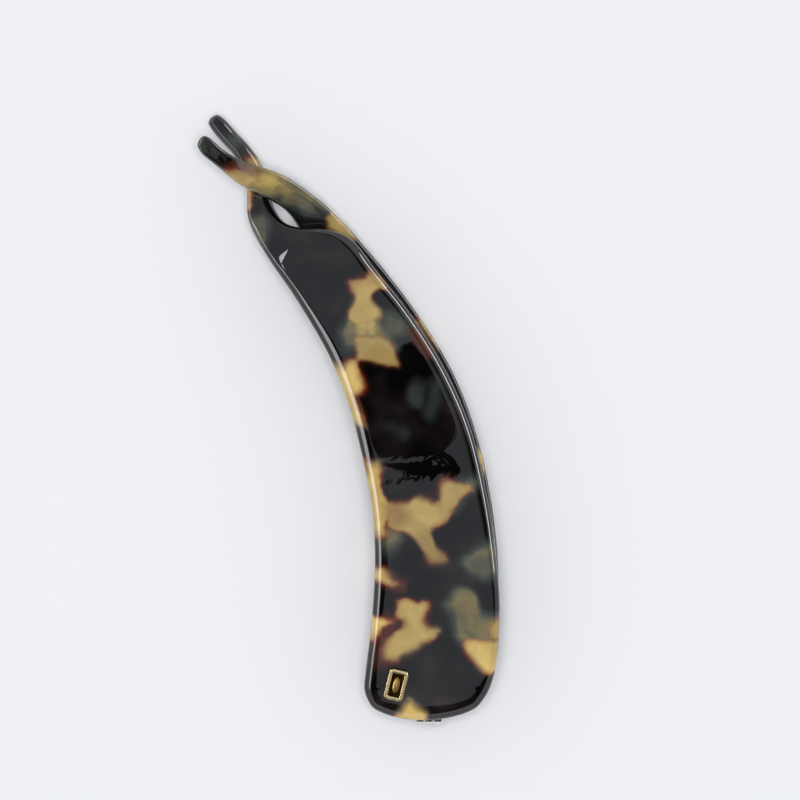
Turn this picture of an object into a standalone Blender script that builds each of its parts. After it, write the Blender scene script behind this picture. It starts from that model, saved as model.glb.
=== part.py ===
# A banana hair clip of tortoiseshell acetate, lying on its side on a surface.
#
# Two bowed arms share a small metal hinge at their wide ends. Their narrow ends are
# fingers that cross like an X and lock the clip shut. Each arm is made as the real
# one is: a flat blank with polished edges is cut to its outline, and is then bent
# and twisted along a spine.
#
# The model stands with +Z up. The hinge axis runs along X, and the fingers point
# towards +Y. The surface is at z = 0, under the back arm's bowed outer face.

from math import atan, ceil, cos, pi, radians, sin

import bmesh
import bpy
from mathutils import Matrix, Vector

MM = 0.001

# Sheet and edges, in mm
SHEET = 3.8             # thickness of the acetate
EDGE_OUT = -0.3         # height in the sheet at which the outer rounding ends
EDGE_IN = -0.9          # height at which the inner rounding starts
RIM_IN = 0.9            # width of the rounding round the inner face
FACE_EDGE = 25          # turn of the outer rounding, in degrees, where it meets the face
OUT_STEPS = 8           # rows of faces in the outer rounding
IN_STEPS = 3            # rows of faces in the inner rounding
COLUMNS = 8             # faces across an arm
ROW_LENGTH = 4.2        # longest face along an arm
END_ROW_LENGTH = 1.3    # and near the wide end's corners
END_SECTIONS = 2        # sections that count as the wide end's corners
PLAY = 0.3              # clearance between pieces that touch

# Hinge, in mm
HINGE_X = 17.4
HINGE_Y = -64.8
BARREL_R = 1.6
BORE_R = 0.8
PIN_R = 0.5
KNUCKLE = 1.5           # length of each outer knuckle
HINGE_WIDTH = 5.3
LEAF_LENGTH = 10.0
LEAF_SHEET = 0.6
ROUND_SIDES = 20

# Emblem plate, in mm
EMBLEM_X = 10.3
EMBLEM_Y = -56.65
EMBLEM_WIDTH = 4.1
EMBLEM_LENGTH = 6.8
EMBLEM_THICK = 0.9
EMBLEM_CORNER = 0.75
EMBLEM_BORDER = 0.5
EMBLEM_SUNK = 0.35      # depth of the field inside the border
EMBLEM_LEAN = -14.0     # degrees about its own upright
BOSS_WIDTH = 1.3
BOSS_LENGTH = 3.1

# Rise of an arm's mid-sheet over the plane between the arms: distance along the
# spine from the hinge axis, and rise. The two equal rows are the flat that it rests on.
BOW = (
    # along, rise
    (-6.0, 2.75),
    (0.0, 3.95),
    (18.0, 7.6),
    (36.0, 10.4),
    (50.0, 11.4),
    (58.0, 11.4),
    (76.0, 10.3),
    (96.0, 7.3),
    (108.0, 4.2),
    (118.0, 0.7),
    (124.0, -1.4),
    (129.0, -2.9),
    (136.0, -4.1),
    (150.0, -5.0),
)

# Sections of the front arm from the wide end to the finger's tip. Left is the clip's
# hollow side. A rim is the width of the rounding round the outer face on that side.
FRONT_SECTIONS = (
    # left_x, left_y, right_x, right_y, left_rim, right_rim
    (4.7, -61.9, 28.2, -61.9, 2.9, 2.9),     # corners of the wide end
    (3.5, -59.3, 30.0, -59.2, 2.7, 2.4),
    (3.7, -54.0, 31.7, -54.0, 2.2, 1.4),
    (4.6, -47.1, 32.5, -47.1, 2.0, 1.2),
    (5.3, -39.3, 32.6, -39.3, 2.1, 1.3),
    (5.7, -30.6, 31.9, -30.6, 2.7, 1.7),     # widest part
    (5.1, -19.2, 29.6, -15.4, 2.9, 2.2),
    (2.8, -7.1, 25.9, -0.7, 2.7, 2.1),
    (0.0, 3.4, 20.6, 11.2, 2.6, 1.9),
    (-4.1, 13.6, 13.2, 23.0, 2.4, 1.8),
    (-8.9, 22.1, 5.1, 33.3, 1.8, 2.0),
    (-13.7, 29.5, 0.9, 38.8, 1.3, 2.0),      # end of the plate
    (-16.4, 33.2, -2.0, 40.6, 1.1, 1.6),
    (-18.4, 36.3, -5.7, 41.5, 1.1, 1.3),     # along the shoulder
    (-20.0, 38.9, -9.1, 41.4, 1.1, 1.1),
    (-21.1, 41.1, -12.0, 41.8, 1.1, 1.1),    # notch
    (-21.9, 43.0, -14.4, 42.9, 1.1, 1.1),
    (-22.3, 45.1, -16.0, 45.1, 1.1, 1.1),
    (-22.3, 47.5, -17.1, 47.4, 1.1, 1.1),    # finger
    (-22.5, 50.6, -17.6, 50.8, 1.1, 1.1),
    (-23.2, 53.8, -18.8, 55.4, 1.1, 1.1),
    (-24.5, 57.0, -20.9, 58.6, 1.1, 1.1),
    (-26.1, 58.8, -22.7, 60.8, 1.1, 1.1),
    (-27.9, 60.6, -24.7, 62.7, 1.1, 1.1),
    (-30.0, 63.1, -27.2, 65.8, 1.1, 1.1),
    (-30.8, 64.5, -28.6, 66.6, 1.1, 1.1),    # corners of the tip
)

# Spine of the front arm, the line that it is bent along, with the twist in degrees.
# A positive twist lifts the right side.
FRONT_SPINE = (
    # x, y, twist
    (HINGE_X, HINGE_Y, 0),
    (18.7, -43.6, 0),
    (18.6, -26.2, 0),
    (16.1, -9.2, 0),
    (10.7, 7.5, 0),
    (4.7, 18.5, 0),
    (-1.7, 27.7, 0),
    (-8.0, 35.8, 0),
    (-15.0, 42.7, 4),
    (-18.9, 47.5, 12),
    (-20.3, 52.5, 10),
    (-22.4, 57.1, 4),
    (-25.7, 61.0, 0),
    (-29.1, 65.4, 0),
)

# The back arm, turned a little on the hinge, with its finger on the other side
BACK_SECTIONS = (
    # left_x, left_y, right_x, right_y, left_rim, right_rim
    (5.0, -61.7, 28.1, -61.9, 2.9, 2.9),     # corners of the wide end
    (3.8, -59.1, 30.2, -59.1, 2.7, 2.4),
    (4.0, -54.0, 31.8, -54.0, 2.2, 1.4),
    (4.8, -47.1, 32.6, -47.1, 2.0, 1.2),
    (5.5, -39.3, 32.8, -39.3, 2.1, 1.3),
    (5.9, -30.6, 32.6, -30.6, 2.7, 1.9),     # widest part
    (5.5, -20.8, 31.0, -16.9, 2.9, 2.8),
    (3.7, -8.4, 28.0, -3.5, 2.7, 2.8),
    (1.1, 3.2, 22.4, 11.0, 2.6, 2.7),
    (-3.0, 13.6, 15.3, 22.6, 2.4, 2.6),
    (-7.8, 22.1, 7.1, 33.4, 1.8, 2.4),
    (-12.0, 28.4, 2.8, 38.5, 1.5, 2.0),      # end of the plate
    (-13.3, 31.9, 0.7, 41.0, 1.4, 1.6),
    (-12.4, 34.9, -1.3, 43.0, 1.2, 1.2),     # along the shoulder
    (-10.7, 37.1, -3.3, 44.9, 1.1, 1.1),
    (-9.7, 39.1, -5.2, 46.8, 1.1, 1.1),      # notch
    (-10.9, 41.3, -7.2, 48.4, 1.1, 1.1),
    (-12.3, 44.0, -9.4, 49.9, 1.1, 1.1),
    (-14.7, 46.3, -11.7, 51.5, 1.1, 1.1),    # finger
    (-17.6, 47.8, -14.6, 53.2, 1.1, 1.1),
    (-20.4, 49.1, -17.8, 54.3, 1.1, 1.1),
    (-24.4, 51.1, -22.1, 55.4, 1.1, 1.1),
    (-27.5, 53.8, -25.6, 57.0, 1.1, 1.1),
    (-30.0, 56.0, -28.1, 59.0, 1.1, 1.1),
    (-31.9, 57.4, -29.8, 60.9, 1.1, 1.1),
    (-32.7, 58.9, -31.0, 61.4, 1.1, 1.1),    # corners of the tip
)
BACK_SPINE = (
    # x, y, twist
    (HINGE_X, HINGE_Y, 0),
    (18.9, -43.6, 0),
    (18.9, -26.2, 0),
    (16.6, -9.2, 0),
    (11.5, 7.3, 0),
    (5.9, 18.2, 0),
    (-0.4, 27.7, 0),
    (-3.5, 34.3, 0),
    (-5.7, 39.7, 0),
    (-8.9, 44.5, -3),
    (-13.4, 48.5, -8),
    (-19.0, 52.0, -18),
    (-23.1, 53.6, -32),
    (-26.4, 55.9, -14),
    (-28.9, 57.7, 0),
    (-32.2, 60.1, 0),
)
WIDE_END_BULGE = 3.4    # how far the wide end's curve runs past its corners
TIP_BULGE = 0.7
BULGE_ROWS = 5          # rows of faces over which a curved end evens out

MID_Z = max(rise for along, rise in BOW) + SHEET / 2


def steady(rows, x):
    """A smooth value from a table of (x, value) rows that never overshoots a row."""
    if x <= rows[0][0]:
        slope = (rows[1][1] - rows[0][1]) / (rows[1][0] - rows[0][0])
        return rows[0][1] + slope * (x - rows[0][0])
    if x >= rows[-1][0]:
        return rows[-1][1]
    steps = [(b[0] - a[0], (b[1] - a[1]) / (b[0] - a[0])) for a, b in zip(rows, rows[1:])]
    slopes = [steps[0][1]]
    for (h0, d0), (h1, d1) in zip(steps, steps[1:]):
        if d0 * d1 <= 0:
            slopes.append(0.0)
        else:
            w0 = 2 * h1 + h0
            w1 = h1 + 2 * h0
            slopes.append((w0 + w1) / (w0 / d0 + w1 / d1))
    slopes.append(steps[-1][1])
    i = max(k for k in range(len(steps)) if x >= rows[k][0])
    h = steps[i][0]
    t = (x - rows[i][0]) / h
    return (rows[i][1] * (1 + 2 * t) * (1 - t) ** 2
            + slopes[i] * h * t * (1 - t) ** 2
            + rows[i + 1][1] * t * t * (3 - 2 * t)
            + slopes[i + 1] * h * t * t * (t - 1))


def through(points, t):
    """A point of the smooth curve through all points, at t counted in points."""
    last = len(points) - 1
    i = min(int(t), last - 1)
    t -= i
    gaps = [max((b - a).length, 1e-9) for a, b in zip(points, points[1:])]

    def tangent(k):
        if k == 0:
            return (points[1] - points[0]) / gaps[0]
        if k == last:
            return (points[last] - points[last - 1]) / gaps[last - 1]
        before = (points[k] - points[k - 1]) / gaps[k - 1]
        after = (points[k + 1] - points[k]) / gaps[k]
        return (before * gaps[k] + after * gaps[k - 1]) / (gaps[k] + gaps[k - 1])

    h = gaps[i]
    return (points[i] * (1 + 2 * t) * (1 - t) ** 2
            + tangent(i) * (h * t * (1 - t) ** 2)
            + points[i + 1] * (t * t * (3 - 2 * t))
            + tangent(i + 1) * (h * t * t * (t - 1)))


class Bend:
    """Takes a point of the flat blank to its place on the bent and twisted arm."""

    def __init__(self, spine, side):
        self.side = side
        marks = [Vector(row[:2]) for row in spine]
        fine = 12
        line = [through(marks, k / fine) for k in range(fine * (len(marks) - 1) + 1)]
        far = 15.0
        start = line[0] + (line[0] - line[1]).normalized() * far
        end = line[-1] + (line[-1] - line[-2]).normalized() * far
        self.line = [start] + line + [end]
        self.along = [-far]
        for a, b in zip(self.line, self.line[1:]):
            self.along.append(self.along[-1] + (b - a).length)
        self.along = [value - (self.along[1]) for value in self.along]
        self.twist = [(self.along[1 + fine * k], radians(row[2])) for k, row in enumerate(spine)]
        self.headings = []
        for a, b, c in zip(self.line[:1] + self.line, self.line, self.line[1:] + self.line[-1:]):
            self.headings.append((c - a).normalized())

    def measure(self, x, y):
        """Distance along the spine, offset to its right, and the heading there."""
        point = Vector((x, y))
        best = None
        for k, (a, b) in enumerate(zip(self.line, self.line[1:])):
            run = b - a
            share = min(max((point - a).dot(run) / run.length_squared, 0.0), 1.0)
            away = (point - a - run * share).length
            if best is None or away < best[0] - 1e-9:
                best = (away, k, share)
        away, k, share = best
        heading = self.headings[k].lerp(self.headings[k + 1], share).normalized()
        foot = self.line[k].lerp(self.line[k + 1], share)
        right = Vector((heading.y, -heading.x))
        along = self.along[k] + (self.along[k + 1] - self.along[k]) * share
        return along, (point - foot).dot(right), foot, heading

    def place(self, x, y, height):
        """The blank's point at this height over its mid-sheet, outwards, in the model."""
        along, offset, foot, heading = self.measure(x, y)
        rise = steady(BOW, along)
        slope = (steady(BOW, along + 0.05) - steady(BOW, along - 0.05)) / 0.1 * self.side
        twist = steady(self.twist, along)
        pitch = atan(slope)
        ahead = Vector((heading.x * cos(pitch), heading.y * cos(pitch), sin(pitch)))
        right = Vector((heading.y * cos(twist), -heading.x * cos(twist), sin(twist)))
        up = right.cross(ahead).normalized()
        centre = Vector((foot.x, foot.y, MID_Z + self.side * rise))
        flat = Vector((x, y, 0.0)) - Vector((foot.x, foot.y, 0.0))
        lean = flat.dot(Vector((heading.x, heading.y, 0.0)))
        where = centre + right * offset + Vector((heading.x, heading.y, slope)) * lean
        return where + up * (height * self.side)


def sections_of(rows):
    """Even rows through a table's sections: left and right point, left and right rim."""
    left = [Vector(row[0:2]) for row in rows]
    right = [Vector(row[2:4]) for row in rows]
    found = []
    for i in range(len(rows) - 1):
        reach = max((left[i + 1] - left[i]).length, (right[i + 1] - right[i]).length)
        parts = ceil(reach / (END_ROW_LENGTH if i < END_SECTIONS else ROW_LENGTH))
        for k in range(parts):
            t = k / parts
            left_rim = rows[i][4] * (1 - t) + rows[i + 1][4] * t
            right_rim = rows[i][5] * (1 - t) + rows[i + 1][5] * t
            found.append((through(left, i + t), through(right, i + t), left_rim, right_rim))
    found.append((left[-1], right[-1], rows[-1][4], rows[-1][5]))
    return found


def across(k):
    """Share of an arm's width at its kth line of faces, closer together at the edges."""
    return (1 - cos(pi * k / COLUMNS)) / 2


def bulge(t, depth):
    """How far a curved end runs out at t across it."""
    return depth * max(1 - (2 * t - 1) ** 2, 0.0) ** 0.72


def outline_of(rows):
    """The blank's outline, clockwise from the wide end's left corner, with its rims."""
    cols = COLUMNS
    start = rows[0]
    end = rows[-1]
    out = (rows[0][0] + rows[0][1]) / 2 - (rows[2][0] + rows[2][1]) / 2
    out.normalize()
    tip_out = (end[0] + end[1]) / 2 - (rows[-2][0] + rows[-2][1]) / 2
    tip_out.normalize()
    points = [row[0] for row in rows]
    rims = [row[2] for row in rows]
    for k in range(1, cols):
        t = across(k)
        points.append(end[0].lerp(end[1], t) + tip_out * bulge(t, TIP_BULGE))
        rims.append(end[2] * (1 - t) + end[3] * t)
    points += [row[1] for row in reversed(rows)]
    rims += [row[3] for row in reversed(rows)]
    for k in range(1, cols):
        t = 1 - across(k)
        points.append(start[0].lerp(start[1], t) + out * bulge(t, WIDE_END_BULGE))
        rims.append(start[2] * (1 - t) + start[3] * t)
    return points, rims


def inset_ring(points, widths):
    """The outline moved inwards by a width at each of its points."""
    count = len(points)
    ring = []
    for k in range(count):
        before = (points[k] - points[k - 1])
        after = (points[(k + 1) % count] - points[k])
        way = before.normalized() + after.normalized()
        way.normalize()
        outward = Vector((-way.y, way.x))
        ring.append(points[k] - outward * widths[k])
    return ring


def arm_mesh(name, table, spine, side):
    """One arm: a flat blank with rounded edges, bent over its spine."""
    rows = sections_of(table)
    count = len(rows)
    cols = COLUMNS
    points, rims = outline_of(rows)
    half = SHEET / 2
    rings = []
    first = radians(FACE_EDGE)
    for k in range(OUT_STEPS + 1):
        turn = first + (pi / 2 - first) * k / OUT_STEPS
        widths = [rim * (1 - sin(turn)) / (1 - sin(first)) for rim in rims]
        share = cos(turn) / cos(first)
        rings.append((inset_ring(points, widths), EDGE_OUT + (half - EDGE_OUT) * share))
    for k in range(IN_STEPS + 1):
        turn = pi / 2 * (1 - k / IN_STEPS)
        widths = [RIM_IN * (1 - sin(turn)) for rim in rims]
        rings.append((inset_ring(points, widths), EDGE_IN - (half + EDGE_IN) * cos(turn)))

    bend = Bend(spine, side)
    bm = bmesh.new()

    def vert(point, height):
        place = bend.place(point.x, point.y, height)
        return bm.verts.new((place - Vector((HINGE_X, HINGE_Y, MID_Z))) * MM)

    loops = [[vert(point, height) for point in ring] for ring, height in rings]
    for one, two in zip(loops, loops[1:]):
        for k in range(len(one)):
            n = (k + 1) % len(one)
            bm.faces.new((one[k], one[n], two[n], two[k]))

    def fill(ring, loop, height):
        """The grid of faces inside a ring."""
        left = list(range(count))
        right = [2 * count + cols - 2 - i for i in range(count)]
        grid = []
        for i in range(count):
            a = ring[left[i]]
            b = ring[right[i]]
            row = [loop[left[i]]]
            for k in range(1, cols):
                t = across(k)
                if i == count - 1:
                    row.append(loop[count - 1 + k])
                    continue
                if i == 0:
                    row.append(loop[(2 * count + 2 * cols - 2 - k) % len(loop)])
                    continue
                spot = a.lerp(b, t)
                near = max(0.0, 1 - i / BULGE_ROWS) ** 1.5
                if near:
                    end_spot = ring[(2 * count + 2 * cols - 2 - k) % len(ring)]
                    spot += (end_spot - ring[0].lerp(ring[right[0]], t)) * near
                row.append(vert(spot, height))
            row.append(loop[right[i]])
            grid.append(row)
        for low, high in zip(grid, grid[1:]):
            for k in range(cols):
                bm.faces.new((low[k], low[k + 1], high[k + 1], high[k]))

    fill(rings[0][0], loops[0], rings[0][1])
    fill(rings[-1][0], loops[-1], rings[-1][1])
    bmesh.ops.recalc_face_normals(bm, faces=bm.faces)
    return finish(name, bm, smooth=50)


def finish(name, bm, smooth=None):
    """Turns a bmesh into an object."""
    mesh = bpy.data.meshes.new(name)
    bm.to_mesh(mesh)
    bm.free()
    ob = bpy.data.objects.new(name, mesh)
    bpy.context.scene.collection.objects.link(ob)
    if smooth is not None:
        mesh.shade_smooth()
        mesh.set_sharp_from_angle(angle=radians(smooth))
    return ob


def material(name, colour, roughness, metallic):
    mat = bpy.data.materials.new(name)
    mat.use_nodes = True
    shader = mat.node_tree.nodes["Principled BSDF"]
    shader.inputs["Base Color"].default_value = (*colour, 1)
    shader.inputs["Roughness"].default_value = roughness
    shader.inputs["Metallic"].default_value = metallic
    mat.diffuse_color = (*colour, 1)
    return mat


def rod(name, x0, x1, radius):
    """A round bar along X on the hinge axis, in millimetres from its middle."""
    bm = bmesh.new()
    bmesh.ops.create_cone(
        bm, cap_ends=True, segments=ROUND_SIDES, radius1=radius * MM, radius2=radius * MM,
        depth=(x1 - x0) * MM,
        matrix=Matrix.Translation(((x0 + x1) / 2 * MM, 0, 0)) @ Matrix.Rotation(pi / 2, 4, "Y"),
    )
    return finish(name, bm, smooth=40)


def combine(ob, other, operation):
    """Joins another object to this one, or cuts it away, and removes the other."""
    mod = ob.modifiers.new(operation, "BOOLEAN")
    mod.operation = operation
    mod.solver = "EXACT"
    mod.object = other
    bpy.context.view_layer.update()
    result = bpy.data.meshes.new_from_object(ob.evaluated_get(bpy.context.evaluated_depsgraph_get()))
    ob.modifiers.clear()
    ob.data = result
    bpy.data.objects.remove(other, do_unlink=True)


def leaf(name, spine, side):
    """A hinge leaf that follows the arm's inner face, with its knuckles."""
    bend = Bend(spine, side)
    top = -SHEET / 2 - PLAY
    bottom = top - LEAF_SHEET
    half = HINGE_WIDTH / 2
    bm = bmesh.new()
    steps = 5
    rows = []
    for k in range(steps + 1):
        y = HINGE_Y + LEAF_LENGTH * k / steps
        row = []
        for x, height in ((-half, top), (half, top), (half, bottom), (-half, bottom)):
            place = bend.place(HINGE_X + x, y, height)
            place.x = HINGE_X + x
            row.append(bm.verts.new((place - Vector((HINGE_X, HINGE_Y, MID_Z))) * MM))
        rows.append(row)
    for low, high in zip(rows, rows[1:]):
        for k in range(4):
            n = (k + 1) % 4
            bm.faces.new((low[k], low[n], high[n], high[k]))
    bm.faces.new(rows[0])
    bm.faces.new(rows[-1])
    bmesh.ops.recalc_face_normals(bm, faces=bm.faces)
    ob = finish(name, bm, smooth=30)
    gap = PLAY
    inner = half - KNUCKLE
    clear = BARREL_R + gap
    if side > 0:
        spans = ((-inner + gap, inner - gap),)
        slots = ((-half - 1, -inner + gap), (inner - gap, half + 1))
    else:
        spans = ((-half, -inner), (inner, half))
        slots = ((-inner, inner),)
    for x0, x1 in slots:
        combine(ob, rod("slot", x0, x1, clear), "DIFFERENCE")
    for x0, x1 in spans:
        combine(ob, rod("knuckle", x0, x1, BARREL_R), "UNION")
    combine(ob, rod("bore", -half - 1, half + 1, BORE_R), "DIFFERENCE")
    ob.data.shade_smooth()
    ob.data.set_sharp_from_angle(angle=radians(40))
    return ob


def rounded_plate(width, length, corner, steps):
    """Corner points of a rounded rectangle, anticlockwise."""
    found = []
    for cx, cy, first in ((1, 1, 0), (-1, 1, 90), (-1, -1, 180), (1, -1, 270)):
        for k in range(steps + 1):
            turn = radians(first + 90 * k / steps)
            found.append(Vector((cx * (width / 2 - corner) + corner * cos(turn),
                                 cy * (length / 2 - corner) + corner * sin(turn))))
    return found


def emblem_plate(name):
    """The gold plaque: a raised border, a sunk field and a plain oval boss."""
    steps = 4
    bm = bmesh.new()
    edge = 0.15
    levels = (
        # inset, height
        (0.0, 0.0),
        (0.0, EMBLEM_THICK - edge),
        (edge, EMBLEM_THICK),
        (EMBLEM_BORDER, EMBLEM_THICK),
        (EMBLEM_BORDER + 0.08, EMBLEM_THICK - EMBLEM_SUNK),
    )
    loops = []
    for inset, height in levels:
        outline = rounded_plate(EMBLEM_WIDTH - 2 * inset, EMBLEM_LENGTH - 2 * inset,
                                max(EMBLEM_CORNER - inset, 0.12), steps)
        loops.append([bm.verts.new((p.x * MM, p.y * MM, height * MM)) for p in outline])
    for one, two in zip(loops, loops[1:]):
        for k in range(len(one)):
            n = (k + 1) % len(one)
            bm.faces.new((one[k], one[n], two[n], two[k]))
    bm.faces.new(reversed(loops[0]))
    bm.faces.new(loops[-1])
    bmesh.ops.recalc_face_normals(bm, faces=bm.faces)
    ob = finish(name, bm)
    bm = bmesh.new()
    field = EMBLEM_THICK - EMBLEM_SUNK
    bmesh.ops.create_uvsphere(
        bm, u_segments=16, v_segments=8, radius=MM,
        matrix=Matrix.Translation((0, 0, (field - 0.05) * MM))
        @ Matrix.Diagonal((BOSS_WIDTH / 2, BOSS_LENGTH / 2, 0.36, 1)),
    )
    combine(ob, finish("boss", bm), "UNION")
    ob.data.shade_smooth()
    ob.data.set_sharp_from_angle(angle=radians(35))
    return ob


def seat_emblem(ob):
    """Lays the plaque on the front arm's outer face, with its small clearance."""
    bend = Bend(FRONT_SPINE, 1)
    reach = 1.5
    height = SHEET / 2 + PLAY
    middle = bend.place(EMBLEM_X, EMBLEM_Y, height)
    right = (bend.place(EMBLEM_X + reach, EMBLEM_Y, height)
             - bend.place(EMBLEM_X - reach, EMBLEM_Y, height)).normalized()
    ahead = (bend.place(EMBLEM_X, EMBLEM_Y + reach, height)
             - bend.place(EMBLEM_X, EMBLEM_Y - reach, height)).normalized()
    up = right.cross(ahead).normalized()
    ahead = up.cross(right)
    frame = Matrix((right, ahead, up)).transposed().to_4x4()
    spin = Matrix.Rotation(radians(EMBLEM_LEAN), 4, "Z")
    hinge = Vector((HINGE_X, HINGE_Y, MID_Z))
    ob.matrix_local = Matrix.Translation((middle - hinge) * MM) @ frame @ spin


def centre_on_origin(pieces, empties):
    """Moves the clip so that the middle of its footprint is the origin, at z = 0."""
    bpy.context.view_layer.update()
    spots = [ob.matrix_world @ vert.co for ob in pieces for vert in ob.data.vertices]
    low = Vector([min(spot[k] for spot in spots) for k in range(3)])
    high = Vector([max(spot[k] for spot in spots) for k in range(3)])
    for empty in empties:
        empty.location -= Vector(((low.x + high.x) / 2, (low.y + high.y) / 2, low.z))
    bpy.context.view_layer.update()


def main():
    for ob in list(bpy.data.objects):
        bpy.data.objects.remove(ob, do_unlink=True)

    acetate = material("tortoiseshell acetate", (0.045, 0.030, 0.018), 0.12, 0)
    gold = material("gold plate", (0.83, 0.60, 0.28), 0.25, 1)
    steel = material("plated hinge steel", (0.75, 0.74, 0.72), 0.25, 1)

    hinge = Vector((HINGE_X, HINGE_Y, MID_Z)) * MM
    swing = bpy.data.objects.new("front_swing", None)
    rest = bpy.data.objects.new("back_rest", None)
    for empty in (swing, rest):
        empty.location = hinge
        bpy.context.scene.collection.objects.link(empty)

    front = arm_mesh("front_arm", FRONT_SECTIONS, FRONT_SPINE, 1)
    back = arm_mesh("back_arm", BACK_SECTIONS, BACK_SPINE, -1)
    front_leaf = leaf("hinge_leaf_front", FRONT_SPINE, 1)
    back_leaf = leaf("hinge_leaf_back", BACK_SPINE, -1)
    pin = rod("hinge_pin", -HINGE_WIDTH / 2, HINGE_WIDTH / 2, PIN_R)
    plaque = emblem_plate("emblem")

    for ob, parent, mat in (
        (front, swing, acetate),
        (back, rest, acetate),
        (front_leaf, swing, steel),
        (back_leaf, rest, steel),
        (pin, rest, steel),
        (plaque, swing, gold),
    ):
        ob.data.materials.clear()
        ob.data.materials.append(mat)
        ob.parent = parent
    seat_emblem(plaque)
    centre_on_origin((front, back, front_leaf, back_leaf, pin, plaque), (swing, rest))


main()
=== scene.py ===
# The looks of a banana hair clip of tortoiseshell acetate. Each arm is a smooth
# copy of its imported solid. Its pattern is a short table of chips, as a maker lays
# them up in a block of acetate, measured in mm in the clip's own plan.

from math import cos, pi, radians, sin
from random import Random

import bpy
import numpy as np
from mathutils import Matrix, Vector


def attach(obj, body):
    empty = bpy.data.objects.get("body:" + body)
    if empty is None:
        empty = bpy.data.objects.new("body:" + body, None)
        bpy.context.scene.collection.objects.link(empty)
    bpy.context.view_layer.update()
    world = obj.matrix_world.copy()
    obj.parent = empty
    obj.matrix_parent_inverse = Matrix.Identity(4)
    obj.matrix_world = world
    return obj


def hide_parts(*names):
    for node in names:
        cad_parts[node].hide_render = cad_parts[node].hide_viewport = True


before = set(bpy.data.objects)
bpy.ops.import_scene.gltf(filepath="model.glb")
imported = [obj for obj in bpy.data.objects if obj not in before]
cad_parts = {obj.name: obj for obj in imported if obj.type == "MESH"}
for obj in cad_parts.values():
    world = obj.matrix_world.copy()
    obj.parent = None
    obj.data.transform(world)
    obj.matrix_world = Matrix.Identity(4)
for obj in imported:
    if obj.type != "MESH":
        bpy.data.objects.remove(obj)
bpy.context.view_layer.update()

MM = 0.001

# The photograph's view, in mm: straight down, square, and VIEW_WIDTH wide at MID_Z
MID_Z = 13.3
VIEW_WIDTH = 174.0
CAMERA_X = 11.06
CAMERA_Y = 4.12
CAMERA_RISE = 900.0
CLIP_START = 10.0
SENSOR = 36.0

# Smooth copies of the solids, with angles in degrees
MERGE = 1e-6            # metres within which corners are one
FLAT = 2                # bend within which faces are one
QUAD_BEND = 60          # most that two triangles may bend where they become a quad
QUAD_SKEW = 90          # most that a corner of that quad may be out of square
SMOOTH_LEVELS = 2
EDGE_BREAK = 0.1        # width of the metal pieces' broken edges, in mm
SHARP = 35              # bend past which an edge is broken
CREASE = 40             # bend past which the shading shows a crease

# Gold plaque, in mm
PLAQUE_WIDTH = 4.1
PLAQUE_LENGTH = 6.8
PLAQUE_THICK = 0.9
PLAQUE_CORNER = 0.95    # radius of its four corners, which the border must stay under
PLAQUE_BORDER = 0.72
PLAQUE_SUNK = 0.35
BOSS_WIDTH = 1.5
BOSS_LENGTH = 3.7
BOSS_RISE = 0.36
BOSS_FOOT = 0.05        # how far the boss's widest level lies under the field

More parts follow.
